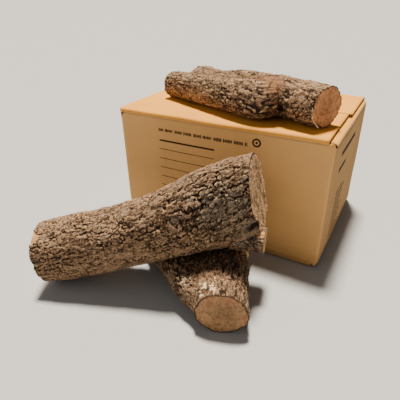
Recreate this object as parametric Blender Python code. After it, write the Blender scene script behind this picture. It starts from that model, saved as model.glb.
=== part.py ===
"""Bundle of three forked firewood logs with a closed carton.

Run it with: blender --background --python part.py
Metres, +Z up. The carton stands with its long sides along X. One forked log lies on its lid, and two more
lie in front of it, one across the other. The origin is the middle of the whole bundle's footprint.
"""

import math
import random
from collections import namedtuple

import bmesh
import bpy
import numpy as np
from mathutils import Vector

# Driving dimensions. Positions are measured from the carton's front left corner on the floor.
CARTON_LENGTH = 0.430
CARTON_DEPTH = 0.300
CARTON_HEIGHT = 0.250
BOARD = 0.006  # double-wall corrugated board
BOARD_BEND = 0.004  # outer radius of the board where it turns a corner
CLEARANCE = 0.0004  # between pieces that lie on or beside each other
SEAM = 0.002  # between the two long flaps where they meet
# How far the long flaps' ends stand in from the left and right walls' outer faces.
FRONT_FLAP_ENDS = (0.003, 0.012)
BACK_FLAP_ENDS = (0.006, 0.006)
LID = CARTON_HEIGHT  # height of the lid's upper face

LOG_SIDES = 24
RING_SPACING = 0.020
TURN_LENGTH = 0.12  # over which an oblique cut fades into square rings
LOBE_DEPTH = 0.030  # how far a log's outline leaves an ellipse, as a share of its radius
LOBES = (2, 3, 5)  # lobes round one log

# A point on a log's heart line, with the half-width and half-height of the log there.
Station = namedtuple("Station", "x y z across high")
# A run of stations from one end on, the seed of its outline, the slope its flat ends stand square to, and
# how far the first end is turned from square, in degrees.
Run = namedtuple("Run", "stations seed slope turn")

# The log on the lid is a stem that forks low down: the limb runs back beside the stem.
FORKED_STEM = Run(
    (
        Station(0.397, 0.047, LID + 0.034, 0.034, 0.034),
        Station(0.355, 0.060, LID + 0.035, 0.035, 0.035),
        Station(0.290, 0.083, LID + 0.036, 0.034, 0.035),
        Station(0.225, 0.106, LID + 0.035, 0.031, 0.033),
        Station(0.165, 0.124, LID + 0.033, 0.030, 0.031),
        Station(0.105, 0.146, LID + 0.031, 0.030, 0.029),
    ),
    seed=11,
    slope=0.0,
    turn=-11,
)
FORKED_LIMB = Run(
    (
        Station(0.312, 0.054, LID + 0.034, 0.024, 0.024),
        Station(0.285, 0.046, LID + 0.033, 0.032, 0.031),
        Station(0.240, 0.055, LID + 0.031, 0.031, 0.030),
        Station(0.180, 0.075, LID + 0.029, 0.028, 0.028),
        Station(0.110, 0.099, LID + 0.027, 0.026, 0.026),
        Station(0.055, 0.119, LID + 0.026, 0.026, 0.026),
    ),
    seed=12,
    slope=0.0,
    turn=0,
)
# The leaning log rises from its narrow end on the floor, over the lower log, to a wide torn end with a stub.
LEANING_STEM = Run(
    (
        Station(0.338, -0.090, 0.184, 0.044, 0.063),
        Station(0.300, -0.107, 0.170, 0.047, 0.066),
        Station(0.260, -0.125, 0.150, 0.050, 0.066),
        Station(0.200, -0.153, 0.122, 0.052, 0.058),
        Station(0.130, -0.186, 0.094, 0.053, 0.054),
        Station(0.060, -0.219, 0.072, 0.053, 0.055),
        Station(0.008, -0.243, 0.057, 0.052, 0.054),
    ),
    seed=23,
    slope=-0.20,
    turn=-16,
)
LEANING_STUB = Run(
    (
        Station(0.357, -0.095, 0.104, 0.022, 0.021),
        Station(0.305, -0.108, 0.110, 0.028, 0.026),
        Station(0.255, -0.125, 0.115, 0.024, 0.022),
    ),
    seed=24,
    slope=0.0,
    turn=0,
)
# The lower log lies on the floor under the leaning one and forks beneath it.
LOWER_STEM = Run(
    (
        Station(0.341, -0.218, 0.037, 0.041, 0.037),
        Station(0.324, -0.185, 0.038, 0.043, 0.038),
        Station(0.306, -0.148, 0.039, 0.043, 0.039),
        Station(0.292, -0.110, 0.037, 0.041, 0.036),
        Station(0.282, -0.075, 0.036, 0.039, 0.035),
        Station(0.276, -0.042, 0.035, 0.036, 0.034),
    ),
    seed=37,
    slope=0.0,
    turn=-8,
)
LOWER_LIMB = Run(
    (
        Station(0.322, -0.196, 0.036, 0.028, 0.030),
        Station(0.275, -0.176, 0.035, 0.039, 0.034),
        Station(0.218, -0.133, 0.032, 0.041, 0.031),
        Station(0.160, -0.098, 0.030, 0.037, 0.030),
        Station(0.110, -0.077, 0.030, 0.032, 0.029),
    ),
    seed=38,
    slope=0.0,
    turn=0,
)


def clear_scene():
    for old in list(bpy.data.objects):
        bpy.data.objects.remove(old)


def material(name, colour, roughness):
    """A plain Principled material."""
    made = bpy.data.materials.new(name)
    made.use_nodes = True
    shader = made.node_tree.nodes["Principled BSDF"]
    shader.inputs["Base Color"].default_value = (*colour, 1.0)
    shader.inputs["Roughness"].default_value = roughness
    shader.inputs["Metallic"].default_value = 0.0
    return made


def object_from(mesh_data, name, finish):
    """Turns a bmesh into a named object of one finish."""
    bmesh.ops.recalc_face_normals(mesh_data, faces=mesh_data.faces)
    mesh = bpy.data.meshes.new(name)
    mesh_data.to_mesh(mesh)
    mesh_data.free()
    mesh.materials.append(finish)
    made = bpy.data.objects.new(name, mesh)
    bpy.context.scene.collection.objects.link(made)
    return made


# ---- Logs ----


def smooth_run(stations):
    """Reads stations as rows of a smooth Catmull-Rom curve, about RING_SPACING apart."""
    rows = np.array(stations, float)
    ends = [2 * rows[0] - rows[1], *rows, 2 * rows[-1] - rows[-2]]
    run = []
    for before, start, end, after in zip(ends, ends[1:], ends[2:], ends[3:]):
        pieces = max(1, round(np.linalg.norm(end[:3] - start[:3]) / RING_SPACING))
        for t in np.arange(pieces) / pieces:
            run.append(
                0.5
                * (
                    2 * start
                    + (end - before) * t
                    + (2 * before - 5 * start + 4 * end - after) * t**2
                    + (3 * start - before - 3 * end + after) * t**3
                )
            )
    run.append(rows[-1])
    return np.array(run)


def lobed_outline(seed):
    """A function of angle and place along the log: how much the outline bulges there."""
    draw = random.Random(seed)
    waves = [
        (n, LOBE_DEPTH / n**0.5, draw.uniform(0, math.tau), draw.uniform(-9, 9))
        for n in LOBES
    ]

    def bulge(angle, along):
        return 1 + sum(
            depth * math.cos(n * angle + phase + drift * along)
            for n, depth, phase, drift in waves
        )

    return bulge


def ring_rows(run, grow):
    """The points round a log at each ring, from its first station to its last."""
    rows = smooth_run(run.stations)
    bulge = lobed_outline(run.seed)
    tangents = np.gradient(rows[:, :3], axis=0)
    along = 0.0
    rings = []
    for number, (row, tangent) in enumerate(zip(rows, tangents)):
        if number:
            along += float(np.linalg.norm(row[:3] - rows[number - 1][:3]))
        turned = math.radians(run.turn) * max(0.0, 1 - along / TURN_LENGTH) ** 2
        heading = math.atan2(tangent[1], tangent[0]) + turned
        forward = Vector((math.cos(heading), math.sin(heading), run.slope)).normalized()
        side = forward.cross(Vector((0, 0, 1))).normalized()
        up = side.cross(forward)
        ring = []
        for step in range(LOG_SIDES):
            angle = math.tau * step / LOG_SIDES
            swell = bulge(angle, along)
            across = (row[3] * swell + grow) * math.cos(angle)
            high = (row[4] * swell + grow) * math.sin(angle)
            ring.append(Vector(row[:3]) + side * across + up * high)
        rings.append(ring)
    return rings


def log_mesh(run, lift, grow=0.0):
    """A closed solid swept along a log's heart line, flat at both ends."""
    solid = bmesh.new()
    rings = [
        [solid.verts.new(point + Vector((0, 0, lift))) for point in ring]
        for ring in ring_rows(run, grow)
    ]
    for near, far in zip(rings, rings[1:]):
        for step in range(LOG_SIDES):
            after = (step + 1) % LOG_SIDES
            solid.faces.new((near[step], near[after], far[after]))
            solid.faces.new((near[step], far[after], far[step]))
    ends = [solid.faces.new(rings[0][::-1]), solid.faces.new(rings[-1])]
    bmesh.ops.triangulate(solid, faces=ends)
    return solid


def cut_clear_of(piece, neighbour, lift):
    """Takes a neighbouring log, and a clearance round it, out of a piece."""
    cutter = object_from(
        log_mesh(neighbour, lift, CLEARANCE), piece.name + "_cutter", piece.data.materials[0]
    )
    cutter.hide_render = True
    cutter.display_type = "WIRE"
    cut = piece.modifiers.new("clear of neighbour", "BOOLEAN")
    cut.operation = "DIFFERENCE"
    cut.solver = "EXACT"
    cut.object = cutter


def log_pair(stem_name, stem, limb_name, limb, rests_at, finish):
    """A forked log: the whole stem, and the limb up to where it grows out of the stem."""
    lowest = min(point.z for run in (stem, limb) for ring in ring_rows(run, 0) for point in ring)
    lift = rests_at - lowest
    whole = object_from(log_mesh(stem, lift), stem_name, finish)
    side = object_from(log_mesh(limb, lift), limb_name, finish)
    cut_clear_of(side, stem, lift)
    return [whole, side]


def make_logs():
    bark = material("oak bark", (0.23, 0.16, 0.11), 0.9)
    on_lid = LID + CLEARANCE
    return [
        *log_pair("forked_log_stem", FORKED_STEM, "forked_log_limb", FORKED_LIMB, on_lid, bark),
        *log_pair("leaning_log_stem", LEANING_STEM, "leaning_log_stub", LEANING_STUB, 0, bark),
        *log_pair("lower_log_stem", LOWER_STEM, "lower_log_limb", LOWER_LIMB, 0, bark),
    ]


# ---- Carton ----


def slab(low, high):
    """A box between two corners, as a bmesh."""
    solid = bmesh.new()
    bmesh.ops.create_cube(solid, size=1.0)
    for vertex in solid.verts:
        for axis in range(3):
            half = vertex.co[axis] + 0.5
            vertex.co[axis] = low[axis] + half * (high[axis] - low[axis])
    return solid


def round_edges(solid, chosen, radius):
    """Rounds the edges whose middle the test picks."""
    edges = [e for e in solid.edges if chosen((e.verts[0].co + e.verts[1].co) / 2, e)]
    bmesh.ops.bevel(solid, geom=edges, offset=radius, segments=3, profile=0.5, affect="EDGES")


def carton_sleeve(finish):
    """The four walls. The end walls stop lower, where the short flaps fold over them."""
    end_top = CARTON_HEIGHT - 2 * (BOARD + CLEARANCE)
    side_top = CARTON_HEIGHT - BOARD - CLEARANCE
    outer = slab((0, 0, BOARD + CLEARANCE), (CARTON_LENGTH, CARTON_DEPTH, side_top))
    round_edges(
        outer,
        lambda middle, e: abs((e.verts[0].co - e.verts[1].co).z) > CARTON_HEIGHT / 2,
        BOARD_BEND,
    )
    sleeve = object_from(outer, "carton_sleeve", finish)
    bores = (
        ("inside", (BOARD, BOARD, -BOARD), (CARTON_LENGTH - BOARD, CARTON_DEPTH - BOARD, LID + BOARD)),
        ("top_step", (-BOARD, BOARD, end_top), (CARTON_LENGTH + BOARD, CARTON_DEPTH - BOARD, LID)),
        ("base_step", (-BOARD, BOARD, 0), (CARTON_LENGTH + BOARD, CARTON_DEPTH - BOARD, LID - end_top)),
    )
    for name, low, high in bores:
        cutter = object_from(slab(low, high), f"carton_{name}_cutter", finish)
        cutter.hide_render = True
        cutter.display_type = "WIRE"
        cut = sleeve.modifiers.new(name, "BOOLEAN")
        cut.operation = "DIFFERENCE"
        cut.solver = "EXACT"
        cut.object = cutter
    return sleeve


def long_flap(name, back, top, finish):
    """A flap of the front or back wall. It reaches the middle of the carton."""
    left_end, right_end = BACK_FLAP_ENDS if back else FRONT_FLAP_ENDS
    low_y, high_y = 0.0, (CARTON_DEPTH - SEAM) / 2
    if back:
        low_y, high_y = CARTON_DEPTH - high_y, CARTON_DEPTH
    low_z, high_z = (LID - BOARD, LID) if top else (0.0, BOARD)
    flap = slab((left_end, low_y, low_z), (CARTON_LENGTH - right_end, high_y, high_z))
    fold_y, fold_z = (high_y if back else low_y), (high_z if top else low_z)
    round_edges(
        flap,
        lambda middle, e: abs(middle.y - fold_y) < BOARD / 2 and abs(middle.z - fold_z) < BOARD / 4,
        BOARD_BEND,
    )
    return object_from(flap, name, finish)


def short_flap(name, right, top, finish):
    """A flap of an end wall. It lies inside the long flaps, and its fold is the rim of the end."""
    low_x, high_x = 0.0, CARTON_DEPTH / 2
    if right:
        low_x, high_x = CARTON_LENGTH - high_x, CARTON_LENGTH
    low_z = LID - 2 * BOARD - CLEARANCE if top else BOARD + CLEARANCE
    inset = BOARD + CLEARANCE
    flap = slab((low_x, inset, low_z), (high_x, CARTON_DEPTH - inset, low_z + BOARD))
    fold_x, fold_z = (high_x if right else low_x), (low_z + BOARD if top else low_z)
    round_edges(
        flap,
        lambda middle, e: abs(middle.x - fold_x) < BOARD / 2 and abs(middle.z - fold_z) < BOARD / 4,
        BOARD_BEND,
    )
    return object_from(flap, name, finish)


def make_carton():
    board = material("kraft board", (0.60, 0.40, 0.21), 0.85)
    pieces = [carton_sleeve(board)]
    for level, top in (("lid", True), ("base", False)):
        pieces.append(long_flap(f"carton_{level}_flap_front", False, top, board))
        pieces.append(long_flap(f"carton_{level}_flap_back", True, top, board))
        pieces.append(short_flap(f"carton_{level}_flap_left", False, top, board))
        pieces.append(short_flap(f"carton_{level}_flap_right", True, top, board))
    return pieces


# ---- Whole bundle ----


def footprint_middle(pieces):
    """The middle of the bundle's footprint, on the floor."""
    bpy.context.view_layer.update()
    graph = bpy.context.evaluated_depsgraph_get()
    corners = []
    for piece in pieces:
        evaluated = piece.evaluated_get(graph)
        mesh = evaluated.to_mesh()
        corners += [(evaluated.matrix_world @ v.co)[:] for v in mesh.vertices]
        evaluated.to_mesh_clear()
    low, high = np.min(corners, axis=0), np.max(corners, axis=0)
    return Vector(((low[0] + high[0]) / 2, (low[1] + high[1]) / 2, low[2]))


def build():
    clear_scene()
    logs = make_logs()
    carton = make_carton()
    middle = footprint_middle([*logs, *carton])
    bundle = bpy.data.objects.new("bundle", None)
    bpy.context.scene.collection.objects.link(bundle)
    for thing in list(bpy.data.objects):
        if thing is not bundle:
            thing.parent = bundle
    bundle.location = -middle
    for piece in logs:
        piece.data.shade_smooth()
    return logs, carton


build()
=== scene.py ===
import functools
import itertools
import math
from collections import namedtuple

import bpy
import numpy as np
from bpy.props import FloatProperty, FloatVectorProperty, PointerProperty
from bpy.types import Operator, Panel, PropertyGroup
from mathutils import Matrix, Vector
from mathutils.bvhtree import BVHTree


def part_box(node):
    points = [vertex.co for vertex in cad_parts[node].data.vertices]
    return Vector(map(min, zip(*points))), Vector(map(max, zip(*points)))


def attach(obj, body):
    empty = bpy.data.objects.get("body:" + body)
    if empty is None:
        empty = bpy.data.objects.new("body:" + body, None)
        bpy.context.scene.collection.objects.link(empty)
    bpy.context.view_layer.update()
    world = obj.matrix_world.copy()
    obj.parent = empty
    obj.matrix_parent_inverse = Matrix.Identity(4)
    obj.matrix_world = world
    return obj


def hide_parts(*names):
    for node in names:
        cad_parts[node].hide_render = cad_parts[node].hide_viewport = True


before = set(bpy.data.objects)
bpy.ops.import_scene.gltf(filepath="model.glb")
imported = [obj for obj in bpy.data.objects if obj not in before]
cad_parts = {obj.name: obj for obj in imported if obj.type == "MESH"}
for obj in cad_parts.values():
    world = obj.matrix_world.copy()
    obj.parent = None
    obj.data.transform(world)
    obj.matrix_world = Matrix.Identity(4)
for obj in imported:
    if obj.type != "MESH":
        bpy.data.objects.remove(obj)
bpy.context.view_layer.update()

bl_info = {
    "name": "Firewood Bundle",
    "version": (1, 0, 0),
    "blender": (4, 5, 0),
    "location": "View3D > Sidebar > Firewood",
    "description": "Dresses the packed solids of a firewood bundle in bark, sawn wood and corrugated board",
    "category": "Object",
}

BODY = "root"

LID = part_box("carton_lid_flap_front")[1].z
CARTON_LOW, CARTON_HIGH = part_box("carton_sleeve")


# ---- Noise ----

MIXER = np.uint64(0x9E3779B97F4A7C15)  # an odd number with its ones well spread


def scrambled(cells, seed):
    """A repeatable number from 0 to 1 for each row of whole numbers."""
    mixed = np.full(len(cells), seed * 7919 + 104729, np.uint64)
    for column in cells.T:
        mixed ^= column.astype(np.int64).astype(np.uint64)
        mixed *= MIXER
        mixed ^= mixed >> np.uint64(29)
    return (mixed >> np.uint64(11)).astype(float) / float(1 << 53)


def noise(points, seed):
    """Smooth noise from -1 to 1, with features about one unit across."""
    low = np.floor(points)
    part = points - low
    part = part * part * (3 - 2 * part)
    total = np.zeros(len(points))
    for corner in itertools.product((0, 1), repeat=3):
        weight = np.prod(np.where(corner, part, 1 - part), axis=1)
        total += weight * scrambled(low + corner, seed)
    return 2 * total - 1


def rough(points, seed, octaves=3):
    """Noise with finer noise added to it."""
    total = np.zeros(len(points))
    for octave in range(octaves):
        total += noise(points * 2**octave, seed + octave) / 2**octave
    return total


Cells = namedtuple("Cells", "gap own lean")


def broken_up(points, seed):
    """Space broken into irregular cells: how far a point is inside its cell, the cell's own number, and the
    point's place along a slope of the cell's own."""
    low = np.floor(points)
    nearest = np.full(len(points), 9.0)
    second = np.full(len(points), 9.0)
    own = np.zeros(len(points))
    away = np.zeros_like(points)
    for shift in itertools.product((-1, 0, 1), repeat=3):
        corner = low + shift
        spread = np.stack([scrambled(corner, seed + axis) for axis in range(3)], axis=1)
        offset = points - corner - spread
        distance = np.linalg.norm(offset, axis=1)
        closer = distance < nearest
        second = np.where(closer, nearest, np.minimum(second, distance))
        own = np.where(closer, scrambled(corner, seed + 3), own)
        away = np.where(closer[:, None], offset, away)
        nearest = np.minimum(nearest, distance)
    tilt = np.stack([np.cos(own * 61), np.sin(own * 61), np.cos(own * 37)], axis=1)
    return Cells(second - nearest, own, (away * tilt).sum(axis=1))


def eased(value, low, high):
    """0 below low, 1 above high, and smooth between them."""
    t = np.clip((value - low) / (high - low), 0, 1)
    return t * t * (3 - 2 * t)


# ---- Meshes ----


def mesh_piece(name, points, faces, finishes, slots=None, smooth=True, values=None):
    """A finished mesh object. values holds a number, or a vector, for each point."""
    mesh = bpy.data.meshes.new(name)
    mesh.from_pydata(np.asarray(points).tolist(), [], faces if isinstance(faces, list) else faces.tolist())
    for finish in finishes:
        mesh.materials.append(finish)
    if slots is not None:
        mesh.polygons.foreach_set("material_index", np.asarray(slots, np.int32))
    smooth = smooth if isinstance(smooth, list) else [smooth] * len(mesh.polygons)
    mesh.polygons.foreach_set("use_smooth", smooth)
    for key, numbers in (values or {}).items():
        numbers = np.asarray(numbers, np.float32)
        kind = "FLOAT_VECTOR" if numbers.ndim == 2 else "FLOAT"
        layer = mesh.attributes.new(key, kind, "POINT")
        layer.data.foreach_set("vector" if numbers.ndim == 2 else "value", numbers.ravel())
    mesh.update()
    if mesh.validate():
        raise ValueError(f"{name} has faces that can't be drawn")
    made = bpy.data.objects.new(name, mesh)
    bpy.context.scene.collection.objects.link(made)
    return made


def grid_faces(rows, columns, closed):
    """Quads over a grid of points. A closed grid joins its last column to its first."""
    last = columns if closed else columns - 1
    row, column = np.meshgrid(np.arange(rows - 1), np.arange(last), indexing="ij")
    after = (column + 1) % columns
    below, above = row * columns, (row + 1) * columns
    corners = [below + column, below + after, above + after, above + column]
    return np.stack([c.ravel() for c in corners], axis=1)


# ---- Logs ----

# A point on a log's heart line in the carton's corner frame, with the log's half-width and half-height there.
Station = namedtuple("Station", "x y z across high")
# A run of stations, the slope its cuts stand square to, how far the first cut is turned from square in
# degrees, and the outline's seed.
Run = namedtuple("Run", "stations slope turn seed")


def run_of(slope, turn, seed, *rows):
    return Run([Station(*row) for row in rows], slope, turn, seed)


RUNS = {
    "forked_log_stem": run_of(
        0.0, -11, 11,
        (0.397, 0.047, LID + 0.034, 0.034, 0.034),
        (0.355, 0.060, LID + 0.035, 0.035, 0.035),
        (0.290, 0.083, LID + 0.036, 0.034, 0.035),
        (0.225, 0.106, LID + 0.035, 0.031, 0.033),
        (0.165, 0.124, LID + 0.033, 0.030, 0.031),
        (0.105, 0.146, LID + 0.031, 0.030, 0.029),
    ),
    "forked_log_limb": run_of(
        0.0, 0, 12,
        (0.312, 0.054, LID + 0.034, 0.024, 0.024),
        (0.285, 0.046, LID + 0.033, 0.032, 0.031),
        (0.240, 0.055, LID + 0.031, 0.031, 0.030),
        (0.180, 0.075, LID + 0.029, 0.028, 0.028),
        (0.110, 0.099, LID + 0.027, 0.026, 0.026),
        (0.055, 0.119, LID + 0.026, 0.026, 0.026),
    ),
    "leaning_log_stem": run_of(
        -0.20, -16, 23,
        (0.338, -0.090, 0.184, 0.044, 0.063),
        (0.300, -0.107, 0.170, 0.047, 0.066),
        (0.260, -0.125, 0.150, 0.050, 0.066),
        (0.200, -0.153, 0.122, 0.052, 0.058),
        (0.130, -0.186, 0.094, 0.053, 0.054),
        (0.060, -0.219, 0.072, 0.053, 0.055),
        (0.008, -0.243, 0.057, 0.052, 0.054),
    ),
    "leaning_log_stub": run_of(
        0.0, 0, 24,
        (0.357, -0.095, 0.104, 0.022, 0.021),
        (0.305, -0.108, 0.110, 0.028, 0.026),
        (0.255, -0.125, 0.115, 0.024, 0.022),
    ),
    "lower_log_stem": run_of(
        0.0, -8, 37,
        (0.341, -0.218, 0.037, 0.041, 0.037),
        (0.324, -0.185, 0.038, 0.043, 0.038),
        (0.306, -0.148, 0.039, 0.043, 0.039),
        (0.292, -0.110, 0.037, 0.041, 0.036),
        (0.282, -0.075, 0.036, 0.039, 0.035),
        (0.276, -0.042, 0.035, 0.036, 0.034),
    ),
    "lower_log_limb": run_of(
        0.0, 0, 38,
        (0.322, -0.196, 0.036, 0.028, 0.030),
        (0.275, -0.176, 0.035, 0.039, 0.034),
        (0.218, -0.133, 0.032, 0.041, 0.031),
        (0.160, -0.098, 0.030, 0.037, 0.030),
        (0.110, -0.077, 0.030, 0.032, 0.029),
    ),
}
TURN_LENGTH = 0.12  # over which an oblique cut fades into square rings
LOBES = (2, 3, 5)
LOBE_DEPTH = 0.030
MESH_STEP = 0.0012  # between points of the bark
COARSE_RING, COARSE_SIDES = 0.006, 48  # a limb made only for measuring to
REST_GAP = 0.0003  # kept to what a log lies on
FORK_WELD = 0.028  # how far from each other the forked log's limbs start to grow together
FILLET = 0.0050  # how far the bark swells where two limbs meet


def smooth_rows(stations, step):
    """The stations as rows of a smooth curve, about step apart."""
    rows = np.array(stations, float)
    ends = [2 * rows[0] - rows[1], *rows, 2 * rows[-1] - rows[-2]]
    run = []
    for before, start, end, after in zip(ends, ends[1:], ends[2:], ends[3:]):
        pieces = max(1, round(np.linalg.norm(end[:3] - start[:3]) / step))
        t = (np.arange(pieces) / pieces)[:, None]
        bend = 2 * before - 5 * start + 4 * end - after
        twist = 3 * start - before - 3 * end + after
        run.append(0.5 * (2 * start + (end - before) * t + bend * t**2 + twist * t**3))
    return np.concatenate([*run, rows[-1:]])


def unit(vectors):
    return vectors / np.linalg.norm(vectors, axis=-1, keepdims=True)


class Shape:
    """A log before its bark: rings of points, with where each lies along the log and round it."""

    def __init__(self, run, step, sides):
        rows = smooth_rows(run.stations, step)
        centres = rows[:, :3]
        self.along = np.concatenate([[0], np.cumsum(np.linalg.norm(np.diff(centres, axis=0), axis=1))])
        tangents = np.gradient(centres, axis=0)
        turned = math.radians(run.turn) * np.maximum(0, 1 - self.along / TURN_LENGTH) ** 2
        heading = np.arctan2(tangents[:, 1], tangents[:, 0]) + turned
        forward = unit(np.stack([np.cos(heading), np.sin(heading), np.full_like(heading, run.slope)], axis=1))
        side = unit(np.cross(forward, (0, 0, 1)))
        up = np.cross(side, forward)
        self.angles = math.tau * np.arange(sides) / sides
        self.cos, self.sin = np.cos(self.angles), np.sin(self.angles)
        swell = self.lobes(run.seed)
        across = side[:, None] * (rows[:, 3, None] * swell * self.cos)[..., None]
        high = up[:, None] * (rows[:, 4, None] * swell * self.sin)[..., None]
        self.centres = centres
        self.forward = forward
        self.rings = centres[:, None] + across + high
        self.outward = unit(across / rows[:, 3, None, None] ** 2 + high / rows[:, 4, None, None] ** 2)
        self.sides = sides

    def lobes(self, seed):
        draw = np.random.default_rng(seed)
        swell = np.ones((len(self.along), len(self.angles)))
        for lobes in LOBES:
            phase, drift = draw.uniform(0, math.tau), draw.uniform(-9, 9)
            wave = lobes * self.angles + phase + drift * self.along[:, None]
            swell += LOBE_DEPTH / lobes**0.5 * np.cos(wave)
        return swell

    def bark_place(self, radius):
        """Places in a straight log of one radius, which are as far apart where the log bends or swells."""
        rows = len(self.along)
        along = np.repeat(self.along, self.sides)
        return np.stack([along, radius * np.tile(self.cos, rows), radius * np.tile(self.sin, rows)], axis=1)


def coarse(node):
    return Shape(RUNS[node], COARSE_RING, COARSE_SIDES)


def moved_tree(node, shift):
    """A limb without bark, moved, as a surface that distances can be measured to."""
    shape = coarse(node)
    faces = grid_faces(len(shape.rings), shape.sides, True)
    return BVHTree.FromPolygons((shape.rings + shift).reshape(-1, 3).tolist(), faces.tolist())


def settled_shift(stem):
    """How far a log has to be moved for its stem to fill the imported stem's box."""
    low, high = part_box(stem)
    points = coarse(stem).rings.reshape(-1, 3)
    middle = (points.min(axis=0) + points.max(axis=0)) / 2
    return np.array((low + high) / 2) - middle


# A log's bark in metres: the size of its plates and how much longer than wide they are, how far they stand
# out, and how far apart and how deep its long fissures are.
Bark = namedtuple("Bark", "plate stretch depth fissure fissure_depth")
BARKS = {
    "forked": Bark(0.0088, 2.3, 0.0014, 0.017, 0.0018),
    "leaning": Bark(0.0092, 3.0, 0.0013, 0.019, 0.0028),
    "lower": Bark(0.0080, 1.7, 0.0013, 0.020, 0.0012),
}


def bark_relief(place, bark, seed):
    """Bark over a straight log: its height and the number of each plate. Plates tilt over one another like
    shingles, some are parted by cracks, and long fissures run between groups of them."""
    wander = np.stack([noise(place / 0.013, seed + axis) for axis in range(3)], axis=1)
    fret = np.stack([noise(place / 0.0036, seed + 5 + axis) for axis in range(3)], axis=1)
    plates = broken_up(place / (bark.stretch, 1, 1) / bark.plate + 0.42 * wander + 0.11 * fret, seed + 10)
    flakes = broken_up(place / (2.2, 1, 1) / (0.42 * bark.plate) + 0.4 * wander + 0.22 * fret, seed + 20)
    long = broken_up(place / (4.6, 1, 1) / bark.fissure + 0.50 * wander + 0.10 * fret, seed + 30)
    parted = eased(noise(place / (0.03, 0.014, 0.014), seed + 40), -0.55, 0.35)
    crack = (1 - eased(plates.gap, 0.0, 0.11)) * parted
    opened = eased(noise(place / (0.06, 0.03, 0.03), seed + 41), -0.60, 0.05)
    deep = (1 - eased(long.gap, 0.0, 0.085)) * opened
    height = bark.depth * (0.9 * plates.lean + 0.5 * (plates.own - 0.5) - 1.0 * crack)
    height += bark.depth * (0.35 * flakes.lean + 0.25 * (flakes.own - 0.5) + 0.9 * long.lean)
    height -= bark.fissure_depth * deep
    height += 0.00022 * rough(place / (0.0080, 0.0034, 0.0034), seed + 50, 2)
    height += 0.0011 * rough(place / 0.035, seed + 60)
    return height, 0.5 * plates.own + 0.5 * flakes.own


def hollows(height, rows, sides, reach):
    """How far each point of a grid of heights is above the mean of those round it, in millimetres."""
    grid = height.reshape(rows, sides)
    padded = np.pad(np.pad(grid, ((reach, reach), (0, 0)), "edge"), ((0, 0), (reach, reach)), "wrap")
    sums = np.pad(padded.cumsum(axis=0).cumsum(axis=1), ((1, 0), (1, 0)))
    wide = 2 * reach + 1
    mean = (sums[wide:, wide:] - sums[:-wide, wide:] - sums[wide:, :-wide] + sums[:-wide, :-wide]) / wide**2
    return 1000 * (grid - mean).ravel()


class Patch(namedtuple("Patch", "along angle length width amount")):
    """A place on a limb, by its distance along, its angle round in degrees and its half-sizes, and how much
    of something there is there."""

    def away(self, along, angle, radius):
        """The square of how far each point is from the middle, where 1 is the patch's edge."""
        turn = (angle - math.radians(self.angle) + math.pi) % math.tau - math.pi
        return ((along - self.along) / self.length) ** 2 + (turn * radius / self.width) ** 2

    def bump(self, along, angle, radius):
        """The amount at each point: all of it in the middle, and less the further out."""
        return self.amount * np.exp(-self.away(along, angle, radius))


def distances(points, tree, reach):
    """How far each point is from a surface, up to reach."""
    found = np.full(len(points), reach)
    for number, point in enumerate(points):
        hit = tree.find_nearest(point.tolist(), reach)
        if hit[3] is not None:
            found[number] = hit[3]
    return found


def sawn_end(rim, normal, inner_rings, relief, seed):
    """Rings of points from a rim inwards over a cut. It returns them with each one's place on the cut, whose
    third number is the distance from the heart, and the share of the way in from the rim."""
    count = len(rim)
    middle = rim.mean(axis=0)
    side = unit(np.cross(normal, (0, 0, 1)))
    up = np.cross(side, normal)
    draw = np.random.default_rng(seed)
    heart = middle + side * draw.uniform(-0.005, 0.005) + up * draw.uniform(-0.004, 0.004)
    points = []
    ins = []
    for ring in range(1, inner_rings + 1):
        share = ring / inner_rings
        share = 1 - (1 - share) ** 1.15 if ring < inner_rings else 0.985
        points.append(heart + (rim - heart) * (1 - share))
        ins.append(np.full(count, share))
    points = np.concatenate(points)
    flat = points - heart
    places = np.stack([flat @ side, flat @ up, np.linalg.norm(flat, axis=1)], axis=1)
    inwards = np.concatenate(ins)
    points = points + normal * (relief(places, inwards, seed) * eased(inwards, 0.0, 0.12))[:, None]
    return points, places, inwards


def saw_marks(places, inwards, seed):
    """The face a chain saw leaves: shallow parallel sweeps, and checks that run out from the heart."""
    sweep = np.sin((places[:, 1] + 0.25 * places[:, 0]) / 0.0021 + 2 * noise(places / 0.02, seed))
    angle = np.arctan2(places[:, 1], places[:, 0])
    check = np.abs(np.sin(2.5 * angle + 0.7 * noise(places / 0.012, seed + 1)))
    split = (1 - eased(check, 0.0, 0.10)) * eased(places[:, 2], 0.002, 0.006)
    split *= 1 - eased(inwards, 0.75, 1.0)
    split *= eased(noise(places / 0.02 + 7, seed + 2), -0.3, 0.3)
    return 0.00016 * sweep + 0.0003 * rough(places / 0.012, seed + 3) - 0.0011 * split


def torn_fibres(places, inwards, seed):
    """The face that is left where a log splits off: upright fibres in steps, and one open split. They run out
    to the rim, so how far inwards a point is makes no difference."""
    wander = 0.004 * noise(places / 0.03, seed)
    across = places[:, 0] + wander + 0.10 * places[:, 1]
    strands = broken_up(np.stack([across / 0.0045, places[:, 1] / 0.06, 0 * across], axis=1), seed + 1)
    steps = 0.0040 * (strands.own - 0.5) + 0.0016 * eased(strands.gap, 0, 0.4)
    fine = 0.0006 * noise(np.stack([across / 0.0016, places[:, 1] / 0.03, 0 * across], axis=1), seed + 2)
    line = np.abs(across + 0.006 + 0.18 * (places[:, 1] - 0.004))
    length = eased(places[:, 1], -0.030, -0.010) * (1 - eased(places[:, 1], 0.022, 0.040))
    split = (1 - eased(line, 0.0006, 0.0030)) * length
    return steps + fine - 0.0065 * split + 0.0015 * noise(places / 0.03, seed + 3)


LogEnd = namedtuple("LogEnd", "finish relief rings")


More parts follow.
